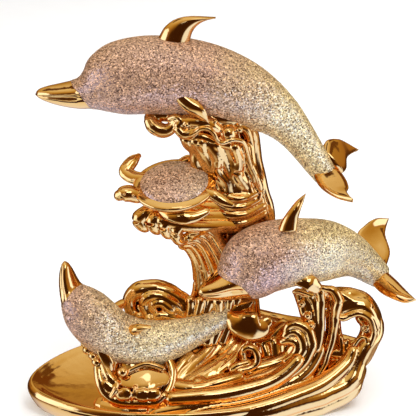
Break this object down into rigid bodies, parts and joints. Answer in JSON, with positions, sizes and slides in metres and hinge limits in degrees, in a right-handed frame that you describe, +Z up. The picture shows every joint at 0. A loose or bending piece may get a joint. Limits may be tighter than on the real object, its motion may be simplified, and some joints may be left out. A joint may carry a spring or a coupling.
{
  "type": "dolphin figurine",
  "caption": "Ornamental cast ceramic figurine of dolphins and a turtle leaping over breaking waves, standing on an oval wave base.",
  "frame": {"origin": "centre of the oval underside", "axes": "+Z up, +X to the viewer's right along the base, +Y away from the viewer"},
  "size_m": [0.3171, 0.1534, 0.3251],
  "materials": {
    "gold_lustre": "polished gold plate over glaze",
    "glitter_coat": "fine glitter in a satin coat"
  },
  "bodies": {
    "root": {"dolphin_figurine": "gold_lustre"}
  },
  "joints": []
}
